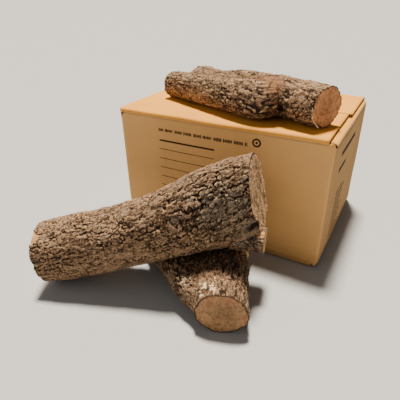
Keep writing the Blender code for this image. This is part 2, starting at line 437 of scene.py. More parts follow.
def with_ends(points, shape, ends, seed):
    """A limb's tube of bark closed by its two cuts. It returns the points, the faces, the number of each
    face's material, and the places and the shares inwards of the cuts' own points."""
    rows, sides = shape.rings.shape[:2]
    blocks, faces, slots = [points], [grid_faces(rows, sides, True)], [np.zeros((rows - 1) * sides, int)]
    cut_place, inwards, tips = [], [], []
    start = len(points)
    for number, (row, end) in enumerate(zip((0, rows - 1), ends)):
        rim = np.arange(sides) + row * sides
        normal = shape.forward[row] * (1 if row else -1)
        inner, places, share = sawn_end(points[rim], normal, end.rings, end.relief, seed + 80 + number)
        blocks.append(inner)
        cut_place.append(places)
        inwards.append(share)
        ids = np.concatenate([rim, start + np.arange(len(inner))]).reshape(-1, sides)
        for outer, inner_ring in zip(ids, ids[1:]):
            quads = np.stack([outer, np.roll(outer, -1), np.roll(inner_ring, -1), inner_ring], axis=1)
            faces.append(quads if row else quads[:, ::-1])
            slots.append(np.full(sides, number + 1))
        tips.append(ids[-1][::-1] if row else ids[-1])
        start += len(inner)
    faces = [*np.concatenate(faces)[:, ::-1].tolist(), *(tip.tolist() for tip in tips)]
    slots = [*np.concatenate(slots).tolist(), 1, 2]
    return np.concatenate(blocks), faces, slots, np.concatenate(cut_place), np.concatenate(inwards)


def laid_bare(height, bare, along, angle, radius, place, seed):
    """The bark's height with patches of bare wood in it, and how bare each point is."""
    bareness = np.zeros(len(height))
    for patch in bare:
        reach = patch.away(along, angle, radius) + 0.35 * noise(place / 0.006, seed + 70)
        cover = 1 - eased(reach, 0.75, 1.05)
        bareness = np.maximum(bareness, cover)
        height = height * (1 - cover) - patch.amount * cover
    return height + 0.0005 * bareness * noise(place / (0.012, 0.002, 0.002), seed + 71), bareness


def grown_together(points, others, weld):
    """1 where a limb meets another one, and less the further off, down to 0 at a distance of weld."""
    grown = np.zeros(len(points))
    for other in others:
        grown = np.maximum(grown, (1 - distances(points, other, weld) / weld) ** 2)
    return grown


def bark_log(
    node, shift, bark, seed, skin, ends, radius, others=(), bare=(), swellings=(), stains_and_shading=(), fork=None,
    floor=None, keep_off=None, weld=0.020
):
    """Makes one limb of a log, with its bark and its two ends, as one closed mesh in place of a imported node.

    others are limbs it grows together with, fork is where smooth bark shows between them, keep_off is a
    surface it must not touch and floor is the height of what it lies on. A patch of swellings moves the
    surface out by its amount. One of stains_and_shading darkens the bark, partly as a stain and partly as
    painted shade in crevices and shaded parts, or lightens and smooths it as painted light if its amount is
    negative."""
    run = RUNS[node]
    mean = np.mean([(s.across + s.high) / 2 for s in run.stations])
    shape = Shape(run, MESH_STEP, int(math.tau * mean / (1.08 * MESH_STEP)))
    rows, sides = shape.rings.shape[:2]
    points = (shape.rings + shift).reshape(-1, 3)
    outward = shape.outward.reshape(-1, 3)
    along = np.repeat(shape.along, sides)
    angle = np.tile(shape.angles, rows)
    place = shape.bark_place(radius)
    height, plate = bark_relief(place, bark, seed)
    stain = np.zeros(len(points))
    for patch in stains_and_shading:
        stain += patch.bump(along, angle, radius)
    height *= 1 - 0.55 * np.clip(-stain, 0, 1)
    height, bareness = laid_bare(height, bare, along, angle, radius, place, seed)
    for patch in swellings:
        height += patch.bump(along, angle, radius)
    grown = grown_together(points, others, weld)
    if fork is not None:
        grown *= eased(outward[:, 2], -0.35, 0.35)
    height = height * (1 - 0.6 * eased(grown, 0.0, 0.6)) + FILLET * grown
    if keep_off is not None:
        height = np.minimum(height, 0.45 * distances(points, keep_off, 0.012))
    if fork is not None:
        grown *= np.exp(-fork.away(along, angle, radius))
    # relief is how far the bark stands above its neighbours; the bark's colour uses it for painted highlights
    # on ridges and painted shade in hollows, and uses upper for painted light on the upper side.
    relief = hollows(height, rows, sides, 3)
    points = points + outward * height[:, None]
    # The two end rings stay in the plane of their cuts.
    grid = points.reshape(rows, sides, 3)
    for row in (0, rows - 1):
        facing = shape.forward[row]
        middle = shape.centres[row] + shift
        off = (grid[row] - middle) @ facing
        grid[row] -= off[:, None] * facing
    points, faces, slots, cut_place, inwards = with_ends(points, shape, ends, seed)
    if floor is not None:
        points[:, 2] = np.maximum(points[:, 2], floor)

    def on_bark(numbers):
        return np.concatenate([numbers, np.zeros(len(inwards))])

    def on_cuts(numbers):
        return np.concatenate([np.zeros((len(place), *numbers.shape[1:])), numbers])

    piece = mesh_piece(
        node.replace("_", "-"), points, faces, [skin, *[end.finish for end in ends]], slots,
        [slot == 0 for slot in slots],
        {
            "grain": np.concatenate([place, cut_place]), "relief": on_bark(relief), "plate": on_bark(plate),
            "bare": on_bark(bareness), "grown": on_bark(grown), "upper": on_bark(outward[:, 2]),
            "stain": on_bark(stain), "cut_place": on_cuts(cut_place), "inwards": on_cuts(inwards)
        }
    )
    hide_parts(node)
    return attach(piece, BODY)


# ---- Shaders ----


class Value:
    """A node's output, with arithmetic written as Python expressions."""

    def __init__(self, socket):
        self.socket = socket

    def maths(self, operation, *values):
        tree = self.socket.id_data
        made = tree.nodes.new("ShaderNodeMath")
        made.operation = operation
        for slot, value in zip(made.inputs, values):
            plug(tree, slot, value)
        return Value(made.outputs[0])

    def __add__(self, other):
        return self.maths("ADD", self, other)

    def __radd__(self, other):
        return self.maths("ADD", other, self)

    def __sub__(self, other):
        return self.maths("SUBTRACT", self, other)

    def __rsub__(self, other):
        return self.maths("SUBTRACT", other, self)

    def __mul__(self, other):
        return self.maths("MULTIPLY", self, other)

    def __rmul__(self, other):
        return self.maths("MULTIPLY", other, self)

    def __truediv__(self, other):
        return self.maths("DIVIDE", self, other)

    def __rtruediv__(self, other):
        return self.maths("DIVIDE", other, self)

    def __pow__(self, other):
        return self.maths("POWER", self, other)

    def __abs__(self):
        return self.maths("ABSOLUTE", self)

    def sine(self):
        return self.maths("SINE", self)

    def turn(self, other):
        return self.maths("ARCTAN2", self, other)

    def floor(self):
        return self.maths("FLOOR", self)

    def part(self):
        return self.maths("FRACT", self)

    def least(self, other):
        return self.maths("MINIMUM", self, other)

    def most(self, other):
        return self.maths("MAXIMUM", self, other)


def plug(tree, slot, value):
    """Gives a socket a number, a colour, a vector or another node's output."""
    if isinstance(value, Value):
        tree.links.new(value.socket, slot)
    elif slot.type == "RGBA" and len(value) == 3:
        slot.default_value = (*value, 1.0)
    else:
        slot.default_value = value


class Finish:
    """A material under construction. Its shader is one Principled BSDF."""

    def __init__(self, name):
        self.material = bpy.data.materials.new(name)
        self.material.use_nodes = True
        self.tree = self.material.node_tree
        self.shader = self.tree.nodes["Principled BSDF"]

    def node(self, kind, settings=None, sockets=None, output=0):
        made = self.tree.nodes.new(kind)
        for key, value in (settings or {}).items():
            setattr(made, key, value)
        for key, value in (sockets or {}).items():
            plug(self.tree, made.inputs[key], value)
        return Value(made.outputs[output])

    def stored(self, name, output="Fac"):
        return self.node("ShaderNodeAttribute", {"attribute_name": name}, output=output)

    def scaled(self, vector, scale):
        """A vector multiplied by a number, or by three."""
        by = (scale,) * 3 if isinstance(scale, (int, float)) else scale
        return self.node("ShaderNodeVectorMath", {"operation": "MULTIPLY"}, {0: vector, 1: by})

    def moved(self, vector, other):
        return self.node("ShaderNodeVectorMath", {"operation": "ADD"}, {0: vector, 1: other})

    def parts(self, vector):
        first = self.node("ShaderNodeSeparateXYZ", {}, {0: vector})
        return [Value(output) for output in first.socket.node.outputs]

    def noise(self, vector, scale, detail=3.0, harshness=0.55):
        return self.node(
            "ShaderNodeTexNoise", {},
            {"Vector": vector, "Scale": scale, "Detail": detail, "Roughness": harshness}
        )

    def cracks(self, vector, scale):
        """How far each point is from the edge of its cell."""
        return self.node(
            "ShaderNodeTexVoronoi", {"feature": "DISTANCE_TO_EDGE"}, {"Vector": vector, "Scale": scale},
            "Distance"
        )

    def ramp(self, value, low, high, to_low=0.0, to_high=1.0):
        return self.node(
            "ShaderNodeMapRange", {"interpolation_type": "SMOOTHSTEP"},
            {"Value": value, "From Min": low, "From Max": high, "To Min": to_low, "To Max": to_high}
        )

    def mix(self, share, first, second):
        """Two colours mixed. Sockets 0, 6 and 7 are the share and the colours, and output 2 is the mix."""
        return self.node("ShaderNodeMix", {"data_type": "RGBA"}, {0: share, 6: first, 7: second}, 2)

    def between(self, share, colour, low, high):
        """A colour made lighter or darker, by low where share is 0 and by high where it is 1."""
        return self.mix(share, shade(colour, low), shade(colour, high))

    def tinted(self, share, colour, scale):
        """A colour that is multiplied by a number, or by three, where share is 1."""
        return self.mix(share, colour, self.scaled(colour, scale))

    def bump(self, height, distance, strength):
        return self.node("ShaderNodeBump", {}, {"Height": height, "Distance": distance, "Strength": strength})

    def finish(self, **sockets):
        for key, value in sockets.items():
            plug(self.tree, self.shader.inputs[key.replace("_", " ")], value)
        return self.material


def rgb(colour):
    return tuple(colour)[:3]


def shade(colour, by):
    """A colour made lighter or darker."""
    return tuple(min(1.0, channel * by) for channel in rgb(colour))


Look = namedtuple("Look", "tone grey moss red specks")


def bark_finish(name, settings, look):
    """Broken bark, with painted highlights on its ridges and upper side and painted shade in its hollows and
    between its plates. A look's tone lightens it, and the rest say how much grey, moss and red inner bark and
    how many pale specks it has; the specks are partly fresh bark and partly painted highlights."""
    made = Finish(name)
    grain = made.stored("grain", "Vector")
    relief, plate, bare = made.stored("relief"), made.stored("plate"), made.stored("bare")
    grown, upper, stain = made.stored("grown"), made.stored("upper"), made.stored("stain")
    patches = made.noise(grain, 38.0, 3.0) - 0.5
    medium = made.noise(made.scaled(grain, (0.38, 1, 1)), 165.0, 4.0, 0.6) - 0.5
    fine = made.noise(made.scaled(grain, (0.55, 1, 1)), 470.0, 4.0, 0.7) - 0.5
    # Share of light bark: random tone, painted highlights on ridges and the upper side, and less where
    # stained, partly as painted shade.
    tone_and_light = medium * 1.8 + fine * 3.0 + (plate - 0.5) * 0.25 + relief * 0.28 + patches * 0.8
    tone_and_light = tone_and_light + made.ramp(upper, 0.20, 1.0, 0.0, 0.10) - stain * 0.28 + 0.5
    dark, light = shade(settings.dark, look.tone), shade(settings.light, look.tone)
    body = made.mix(made.ramp(tone_and_light, 0.15, 0.95), dark, light)
    # The grey is lighter on ridges, a painted highlight, and varies at random.
    grey_share = made.ramp(fine * 2.0 + medium + relief * 0.3, -0.45, 0.45)
    grey = made.between(grey_share, settings.weathered, 0.3, 1.9)
    body = made.mix(made.ramp(patches + medium * 0.6 + stain * 0.2, 0.0, 0.25) * look.grey, body, grey)
    # Pale specks, partly fresh broken bark and partly painted highlights, more of them on ridges.
    flakes = made.ramp(made.noise(made.moved(grain, (1, 7, 2)), 300.0, 2.0) + relief * 0.12, 0.58, 0.70)
    body = made.mix(flakes * look.specks, body, shade(settings.fresh_and_highlight, look.tone))
    damp = made.noise(made.moved(grain, (3, 1, 2)), 26.0, 4.0) + fine * 0.3 - upper * 0.10
    moss = made.between(fine + 0.5, settings.moss, 0.5, 1.6)
    body = made.mix(made.ramp(damp, 0.50, 0.64) * look.moss, body, moss)
    inner = made.between(made.ramp(medium + fine, -0.15, 0.15), settings.inner, 0.5, 1.5)
    body = made.mix(made.ramp(grown + medium * 0.9, 0.06, 0.42) * look.red, body, inner)
    bend = made.node("ShaderNodeTexNoise", {}, {"Vector": grain, "Scale": 130.0, "Detail": 2.0}, 1)
    bent = made.moved(made.scaled(grain, (0.38, 1, 1)), made.scaled(bend, 0.008))
    parting = made.ramp(made.noise(made.moved(grain, (9, 4, 1)), 45.0), 0.40, 0.56)
    # Thin cracks in the shader, darkened to the crack colour: partly their own colour and partly painted
    # shade.
    seams = made.ramp(made.cracks(bent, 95.0), 0.015, 0.080, 1.0, 0.0) * parting
    body = made.mix(seams * 0.85, body, rgb(settings.crack))
    # Painted shade: hollows, and stained parts, go to the crack colour.
    depth = made.ramp(relief + fine * 0.8 - stain * 0.15, -1.30, -0.50)
    body = made.mix(depth, rgb(settings.crack), body)
    strands = made.noise(made.scaled(grain, (0.12, 1, 1)), 500.0, 3.0)
    wood = made.between(made.ramp(strands, 0.35, 0.65), settings.wood, 0.6, 1.1)
    body = made.mix(made.ramp(bare, 0.25, 0.7), body, wood)
    height = fine * 0.7 + medium * 0.5 + made.noise(grain, 1300.0, 2.0) * 0.25 - seams * 0.6
    made.finish(
        Base_Color=body, Roughness=made.ramp(fine, -0.2, 0.2, 0.95, 0.80),
        Normal=made.bump(height, 0.0012, 0.85), Specular_IOR_Level=0.15
    )
    return made.material


def cut_finish(name, sap, heart, bark, ring_width, stain, fibres=False):
    """Sawn or torn wood, with rings round the heart, checks and a dark rim where the bark starts."""
    made = Finish(name)
    place = made.stored("cut_place", "Vector")
    inwards = made.stored("inwards")
    across, up, out = made.parts(place)
    wander = made.noise(place, 60.0, 3.0)
    rings = made.ramp((out / ring_width + wander * 2.2).part(), 0.15, 0.95)
    strands = made.noise(made.scaled(place, (1.0, 0.09, 1.0)), 520.0, 4.0, 0.6)
    fine = made.noise(place, 900.0, 2.0)
    core = made.ramp(out + (wander - 0.5) * 0.03, 0.004, 0.030)
    body = made.mix(core, heart, sap)
    if fibres:
        wide = made.noise(made.scaled(place, (1.0, 0.07, 1.0)), 210.0, 3.0, 0.6)
        body = made.mix(made.ramp(wide, 0.38, 0.60), made.scaled(body, 0.42), body)
        body = made.mix(made.ramp(strands, 0.36, 0.60), made.scaled(body, 0.50), body)
        body = made.mix(made.ramp(strands, 0.56, 0.70) * 0.8, body, shade(sap, 1.35))
    else:
        body = made.tinted(rings * 0.38, body, 0.60)
        sweeps = made.noise(made.scaled(place, (0.35, 3.0, 1)), 240.0)
        body = made.tinted(made.ramp(sweeps, 0.4, 0.7) * 0.35, body, 0.7)
        mottled = made.noise(made.moved(place, (2, 1, 3)), 150.0, 4.0, 0.7)
        body = made.tinted(made.ramp(mottled, 0.44, 0.62) * 0.8, body, 0.50)
        spokes = made.node("ShaderNodeCombineXYZ", {}, {0: up.turn(across) * 7.0, 1: out * 60.0})
        body = made.tinted(made.ramp(made.noise(spokes, 1.6, 3.0), 0.55, 0.72) * 0.6, body, 0.45)
    marks = made.ramp(made.noise(made.moved(place, (5, 5, 5)), 55.0, 3.0), 0.58, 0.68)
    body = made.mix(marks * 0.55, body, stain)
    body = made.tinted(made.ramp(fine, 0.35, 0.8) * 0.35, body, 1.4)
    edge = made.ramp(inwards + (wander - 0.5) * 0.10, 0.03, 0.07)
    rim = made.mix(made.ramp(made.noise(place, 500.0), 0.4, 0.6), bark, shade(bark, 0.4))
    body = made.mix(edge, rim, body)
    height = rings * 0.15 + strands * 0.5 + fine * 0.2
    made.finish(
        Base_Color=body, Roughness=made.ramp(strands, 0.3, 0.7, 0.86, 0.7),
        Normal=made.bump(height, 0.0006, 0.6), Specular_IOR_Level=0.25
    )
    return made.material


# ---- Carton ----

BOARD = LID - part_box("carton_lid_flap_front")[0].z
FOLD = 0.005  # outer radius of a folded edge
CORNER = 0.006  # outer radius of the walls' upright corners
COARSE = 0.0065  # between points of the board
GRIP = 0.008  # how far below a fold the flap's own piece starts
TIGHT = 0.0006  # inner radius of a fold or a corner
LENGTH = CARTON_HIGH.x - CARTON_LOW.x
DEPTH = CARTON_HIGH.y - CARTON_LOW.y
FLUTE = 0.0075
LID_SUN_TINT = (1.12, 0.90, 0.42)  # painted light: the lid's paper is tinted a warmer brown than the walls', for the sun on it
END_SHADE_TINT = (0.66, 0.68, 0.74)  # painted shade: the end walls' paper is tinted a darker and greyer one
DENTS = [  # where the lid's knocked corners are, how far a dent reaches and how far it moves the board
    ((CARTON_LOW.x, CARTON_LOW.y, LID), (0.018, 0.020, 0.022), (-0.0035, 0.0015, -0.0010)),
    ((CARTON_HIGH.x, CARTON_LOW.y, LID - 0.004), (0.011, 0.011, 0.011), (-0.0015, 0.0020, -0.0018)),
]


def spread(start, end, step):
    """Numbers from start to end, about step apart."""
    return np.linspace(start, end, max(2, round(abs(end - start) / step) + 1))


def warped(points, settings):
    """The way the handled carton has lost its flatness: bowed panels, soft folds and knocked corners."""
    p = np.array(points, float)
    x = (p[:, 0] - CARTON_LOW.x) / LENGTH
    y = (p[:, 1] - CARTON_LOW.y) / DEPTH
    z = p[:, 2] / LID
    bow = settings.bow

    def inside(share):
        """0 at either end and 1 half way."""
        return np.clip(4 * share * (1 - share), 0, 1)

    p[:, 1] += bow * (2 * y - 1) * inside(x) * inside(z)
    p[:, 0] += bow * 0.8 * (2 * x - 1) * inside(y) * inside(z)
    top = eased(z, 0.80, 1.0)
    p[:, 2] += top * (0.0010 * inside(x) * inside(y) + 0.0008 * noise(points / 0.09, 5))
    p[:, 2] -= top * 0.0010 * (1 - eased(y, 0.0, 0.12))
    p[:, 1] += top * 0.0008 * noise(points / 0.05, 6) * (1 - eased(y, 0.0, 0.2))
    ripple = np.stack([noise(points / 0.06, 7 + axis) for axis in range(3)], axis=1)
    p += 0.0005 * ripple * eased(z, 0.02, 0.2)[:, None]
    for corner, reach, push in DENTS:
        away = np.linalg.norm((points - corner) / reach, axis=1)
        p += np.exp(-(away**2))[:, None] * push
    p[:, 2] = np.maximum(p[:, 2], 0.0)
    return p


def doubled(outer, inner, closed):
    """A sheet with thickness from two matching grids of points, and which of its faces are cut edges."""
    rows, columns = outer.shape[:2]
    count = rows * columns
    points = np.concatenate([outer.reshape(-1, 3), inner.reshape(-1, 3)])
    skin = grid_faces(rows, columns, closed)
    faces = [skin, (skin + count)[:, ::-1]]
    rims = []
    last = columns if closed else columns - 1
    column = np.arange(last)
    after = (column + 1) % columns
    for row, turned in ((0, True), (rows - 1, False)):
        base = row * columns
        quads = np.stack([base + column, base + after, base + after + count, base + column + count], axis=1)
        rims.append(quads[:, ::-1] if turned else quads)
    if not closed:
        row = np.arange(rows - 1)
        for side, turned in ((0, False), (columns - 1, True)):
            a, b = row * columns + side, (row + 1) * columns + side
            quads = np.stack([a, b, b + count, a + count], axis=1)
            rims.append(quads[:, ::-1] if turned else quads)
    rim = np.concatenate(rims)
    slots = [0] * (2 * len(skin)) + [1] * len(rim)
    return points, np.concatenate([*faces, rim]), slots


def board_piece(name, node, outer, inner, settings, finishes, closed=False):
    points, faces, slots = doubled(outer, inner, closed)
    skin = [slot == 0 for slot in slots]
    made = mesh_piece(name, warped(points, settings), faces, finishes, slots, skin, {"flat": points})
    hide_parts(node)
    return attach(made, BODY)


def wall_outline(inset):
    """Points round the four walls, inset from their outer faces, with the share of each in an end wall."""
    radius = max(CORNER - inset, TIGHT)
    low_x, high_x = CARTON_LOW.x + inset + radius, CARTON_HIGH.x - inset - radius
    low_y, high_y = CARTON_LOW.y + inset + radius, CARTON_HIGH.y - inset - radius
    centres = np.array([(high_x, low_y), (high_x, high_y), (low_x, high_y), (low_x, low_y)])
    points, ends = [], []

    def outward(quarters):
        turn = math.radians(90 * quarters)
        return radius * np.array([math.cos(turn), math.sin(turn)])

    for number, centre in enumerate(centres):
        on_end = number % 2
        start, finish = centres[number - 1] + outward(number - 1), centre + outward(number - 1)
        steps = round((DEPTH if on_end else LENGTH) / COARSE)
        for t in np.arange(steps) / steps:
            points.append(start + (finish - start) * t)
            ends.append(on_end)
        for share in np.arange(4) / 4:
            points.append(centre + outward(number - 1 + share))
            ends.append(abs(on_end - share))
    return np.array(points), np.array(ends, float)


def make_walls(settings, finishes):
    """The four walls in one piece, with rows of points that are closer near the folds."""
    below, middle, above = np.linspace(0, 0.12, 6), np.linspace(0.12, 0.88, 30), np.linspace(0.88, 1, 7)
    rows = np.concatenate([below[:-1], middle, above[1:]])
    side_top = LID - GRIP
    end_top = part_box("carton_lid_flap_left")[1].z - GRIP
    grids = []
    for inset in (0.0, BOARD):
        outline, ends = wall_outline(inset)
        top = side_top + (end_top - side_top) * ends
        # The right end of the front wall stands a little higher, with a raw edge.
        raised = (CARTON_HIGH.x - outline[:, 0] < 0.012) & (ends < 0.5) & (outline[:, 1] < 0.1)
        top = np.where(raised, LID - 0.0035, top)
        grid = np.zeros((len(rows), len(outline), 3))
        grid[..., :2] = outline
        grid[..., 2] = (LID - top) + (2 * top - LID) * rows[:, None]
        grids.append(grid)
    board_piece("carton-walls", "carton_sleeve", *grids, settings, finishes, closed=True)


def flap_profile(reach):
    """The outer and inner faces of a fold and the flap beyond it, as (in from the wall, down) pairs."""

    def arc(centre, radius):
        turns = np.linspace(0, math.pi / 2, 7)
        return [(centre - radius * math.cos(t), centre - radius * math.sin(t)) for t in turns]

    fold_out, fold_in = arc(FOLD, FOLD), arc(BOARD + TIGHT, TIGHT)
    flat = spread(0.012, reach, COARSE)
    outer = [(0.0, GRIP), (0.0, 0.5 * (GRIP + FOLD)), *fold_out, *((f, 0.0) for f in flat)]
    inner = [(BOARD, GRIP), (BOARD, GRIP - 0.0005), *fold_in, *((f, BOARD) for f in flat)]
    return np.array(outer), np.array(inner)


def make_flap(node, settings, finishes):
    """One flap with its own fold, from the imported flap's box."""
    low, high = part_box(node)
    level, side = node.split("_")[1::2]
    top = high.z if level == "lid" else low.z
    down = -1 if level == "lid" else 1
    along, across = (0, 1) if side in ("front", "back") else (1, 0)
    wall, inwards = (low[across], 1) if side in ("front", "left") else (high[across], -1)
    run = spread(low[along], high[along], COARSE)
    grids = []
    for profile in flap_profile(high[across] - low[across]):
        grid = np.zeros((len(profile), len(run), 3))
        grid[..., along] = run
        grid[..., across] = wall + inwards * profile[:, 0, None]
        grid[..., 2] = top + down * profile[:, 1, None]
        forwards = (side in ("front", "right")) == (level == "lid")
        grids.append(grid if forwards else grid[:, ::-1])
    board_piece(node.replace("_", "-"), node, *grids, settings, finishes)


def board_finish(settings):
    """Kraft paper over flutes, with fibres, scuffs and plain printed rules, painted light on the lid and
    painted shade on the end walls and in a pocket at the front flap.
    """
    made = Finish("kraft board")
    flat = made.stored("flat", "Vector")
    x, y, z = made.parts(flat)
    fibres = made.noise(made.scaled(flat, (1.0, 1.0, 0.25)), 900.0, 3.0, 0.6)
    clouds = made.noise(flat, 9.0, 3.0)
    specks = made.ramp(made.noise(flat, 700.0, 2.0), 0.66, 0.74)
    body = made.mix(made.ramp(clouds, 0.3, 0.7), rgb(settings.board), shade(settings.board, 0.90))
    body = made.tinted(made.ramp(fibres, 0.3, 0.7) * 0.30, body, 0.80)
    body = made.tinted(specks * 0.25, body, 0.55)
    # Painted light: the lid's paper is tinted warmer for the sun on it.
    on_lid = made.ramp(z, LID - 0.0085, LID - 0.0060)
    body = made.tinted(on_lid, body, LID_SUN_TINT)
    # Painted shade: the end walls' paper is tinted darker and greyer.
    from_middle = abs(x - (CARTON_LOW.x + CARTON_HIGH.x) / 2)
    on_end = made.ramp(from_middle, LENGTH / 2 - 0.0022, LENGTH / 2 - 0.0008)
    on_end = on_end * made.ramp(z, LID - 0.013, LID - 0.009, 1.0, 0.0)
    body = made.tinted(on_end, body, END_SHADE_TINT)
    # Worn folds show paler, fuzzed paper.
    edge_y = abs(y - CARTON_LOW.y).least(abs(y - CARTON_HIGH.y))
    edge_x = abs(x - CARTON_LOW.x).least(abs(x - CARTON_HIGH.x))
    edge_z = abs(z - LID)
    fold = edge_y.most(edge_z).least(edge_x.most(edge_z)).least(edge_x.most(edge_y))
    worn = made.ramp(fold + (made.noise(flat, 120.0, 3.0) - 0.5) * 0.006, 0.0015, 0.006, 1.0, 0.0)
    body = made.tinted(worn * 0.28, body, 1.30)
    # Painted shade: the board behind the loose left end of the front flap is darkened in a three-cornered
    # pocket where shade falls.
    drop = (LID - 0.0075 - z).most(0.0)
    pocket_shade = made.ramp(0.013 - drop * 0.75 - (x - CARTON_LOW.x) + (fibres - 0.5) * 0.003, -0.0008, 0.0010)
    pocket_shade = pocket_shade * made.ramp(z, LID - 0.0080, LID - 0.0070, 1.0, 0.0)
    pocket_shade = pocket_shade * made.ramp(y - CARTON_LOW.y, 0.0006, 0.0014, 1.0, 0.0)
    body = made.tinted(pocket_shade * 0.85, body, (0.22, 0.13, 0.10))
    body = made.mix(printed(made, x, y, z, fibres), body, rgb(settings.ink))
    flutes = ((x + y) * (math.tau / FLUTE)).sine()
    height = fibres * 0.25 + flutes * 0.10 + made.noise(flat, 60.0, 2.0) * 0.6
    made.finish(
        Base_Color=body, Roughness=made.ramp(fibres, 0.3, 0.7, 0.92, 0.82),
        Normal=made.bump(height, 0.0007, 0.35), Specular_IOR_Level=0.08
    )
    return made.material


def cut_board_finish(settings):
    """The cut edge of double-wall board: papers with two rows of flutes between them, darker than the faces
    partly as painted shade of the seams it sits in, and darkest as painted shade in the flutes' hollows.
    """
    made = Finish("cut board edge")
    flat = made.stored("flat", "Vector")
    x, y = made.parts(flat)[:2]
    waves = ((x + y) * (math.tau / FLUTE)).sine()
    # Painted shade: the flutes' hollows are darkened.
    flute_shade = made.ramp(abs(waves) + (made.noise(flat, 300.0) - 0.5) * 0.6, 0.35, 0.75)
    body = made.mix(flute_shade, shade(settings.board, 0.55), shade(settings.board, 0.10))
    made.finish(Base_Color=body, Roughness=0.9, Specular_IOR_Level=0.1)
    return made.material


# Printed rules, in metres from the carton's front left corner along a wall and up: where each starts and
# ends, its height and its thickness.
FRONT_RULES = [
    (0.095, 0.216, 0.196, 0.0036),
    *[(0.094, 0.216, 0.178 - 0.0198 * line, 0.0014) for line in range(8)],
]
SIDE_RULES = [
    (0.063, 0.190, 0.2045, 0.0090),
    (0.058, 0.116, 0.175, 0.0080),
    *[(0.066, 0.122 + 0.01 * ((line * 7) % 4), 0.126 - 0.0105 * line, 0.0042) for line in range(10)],
]
STROKES = (0.094, 0.281, 0.2178, 0.0030)  # left, right, height and the width of a stroke and its gap
STROKES_TO_A_GROUP = 7
# The ring: how far across and up it is, its radius, half its line's width and its dot's radius.
ROUND_MARK = (0.298, 0.2240, 0.0066, 0.0017, 0.0024)
STRIPE = (0.1055, 0.1067, 0.125, 0.15)  # a faint upright line on the front
INK_EDGE = 0.0004


def printed(made, x, y, z, fibres):
    """Where the ink is: rules, a row of plain strokes and a ring on the front, and rules on the right."""
    along, back = x - CARTON_LOW.x, y - CARTON_LOW.y

    def bar(across, left, right, level, thick):
        flat = (right - left) / 2 - abs(across - (left + right) / 2)
        return flat.least(thick / 2 - abs(z - level))

    def covered(bars):
        return made.ramp(functools.reduce(Value.most, bars), -INK_EDGE, INK_EDGE)

    front = [bar(along, *rule) for rule in FRONT_RULES]
    left, right, level, pitch = STROKES
    place = along / pitch
    group_place = place / STROKES_TO_A_GROUP
    stroke, group = (
        made.node("ShaderNodeTexWhiteNoise", {"noise_dimensions": "1D"}, {"W": number})
        for number in (place.floor(), group_place.floor() + 9)
    )
    strokes = (0.40 - abs(place.part() - 0.5)) * pitch
    strokes = strokes.least(0.0023 + 0.0014 * stroke - abs(z - level))
    strokes = strokes.least(bar(along, left, right, level, 0.02))
    front.append(strokes.least((group_place.part() - 0.12 - 0.10 * group) * 0.01))
    across, level, radius, thick, dot = ROUND_MARK
    out = ((along - across) ** 2 + (z - level) ** 2) ** 0.5
    front.append((thick - abs(out - radius)).most(dot - out))
    on_front = made.ramp(back, 0.0006, 0.0014, 1.0, 0.0)
    faint = covered([bar(along, *STRIPE)]) * 0.18
    side = [bar(back, *rule) for rule in SIDE_RULES]
    on_side = made.ramp(x, CARTON_HIGH.x - 0.0014, CARTON_HIGH.x - 0.0006)
    worn = made.ramp(fibres, 0.25, 0.5, 0.80, 1.0)
    return (covered(front).most(faint) * on_front).most(covered(side) * on_side) * worn


# ---- Small loose things ----


# A crust's rings, from its skirt in the bark to its middle: share of its size, and height over the bark.
CRUST_RINGS = ((1.0, -0.0012), (0.95, 0.0004), (0.55, 0.0008), (0.0, 0.0009))
CRUST_SIDES = 14


def lichen_patches(name, piece, spots, finish, seed):
    """Pale crusts of lichen on a log: thin ragged flakes that follow the bark under them. A spot is a
    distance along the log, an angle round it in degrees and a size."""
    mesh = piece.data
    points = np.empty(len(mesh.vertices) * 3, np.float32)
    grain = np.empty_like(points)
    mesh.vertices.foreach_get("co", points)
    mesh.attributes["grain"].data.foreach_get("vector", grain)
    points, grain = points.reshape(-1, 3).astype(float), grain.reshape(-1, 3).astype(float)
    skin = BVHTree.FromPolygons(points.tolist(), [face.vertices[:] for face in mesh.polygons])
    radius = np.hypot(grain[0, 1], grain[0, 2])
    draw = np.random.default_rng(seed)
    corners, faces, tone = [], [], []
    count = CRUST_SIDES
    for along, angle, size in spots:
        turn = math.radians(angle)
        target = np.array([along, radius * math.cos(turn), radius * math.sin(turn)])
        middle = Vector(points[int(np.argmin(np.linalg.norm(grain - target, axis=1)))])
        near = skin.find_nearest_range(middle, 0.005)
        normal = sum((hit[1] for hit in near), Vector()).normalized()
        first = normal.cross(Vector((0.3, 0.2, 1.0))).normalized()
        second = normal.cross(first)
        start = len(corners)
        phase = draw.uniform(0, math.tau, 3)
        for share, lift in CRUST_RINGS:
            for step in range(count if share else 1):
                turn = math.tau * step / count
                ragged = 1 + 0.38 * math.sin(2 * turn + phase[0]) + 0.28 * math.sin(3 * turn + phase[1])
                ragged += 0.20 * math.sin(5 * turn + phase[2])
                reach = size * share * ragged
                above = middle + first * reach * math.cos(turn) + second * reach * math.sin(turn)
                above += normal * 0.006
                hit = skin.ray_cast(above, -normal, 0.015)[0] or above - normal * 0.007
                corners.append(hit + normal * lift)
                tone.append(draw.random())
        for ring in range(2):
            for step in range(count):
                a, b = start + ring * count + step, start + ring * count + (step + 1) % count
                faces.append([a, b, b + count, a + count])
        tip = start + 3 * count
        for step in range(count):
            faces.append([start + 2 * count + step, start + 2 * count + (step + 1) % count, tip])
        faces.append([start + step for step in reversed(range(count))])
    made = mesh_piece(name, corners, faces, [finish], values={"tone": tone})
    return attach(made, BODY)


def lichen_finish(settings):
    made = Finish("lichen")
    tone = made.stored("tone")
    place = made.node("ShaderNodeTexCoord", {}, {}, "Object")
    fine = made.noise(place, 700.0, 3.0)
    body = made.mix(tone * 0.6 + fine * 0.4, rgb(settings.lichen), shade(settings.lichen, 0.72))
    made.finish(Base_Color=body, Roughness=0.95, Normal=made.bump(fine, 0.0005, 0.6), Specular_IOR_Level=0.1)
    return made.material


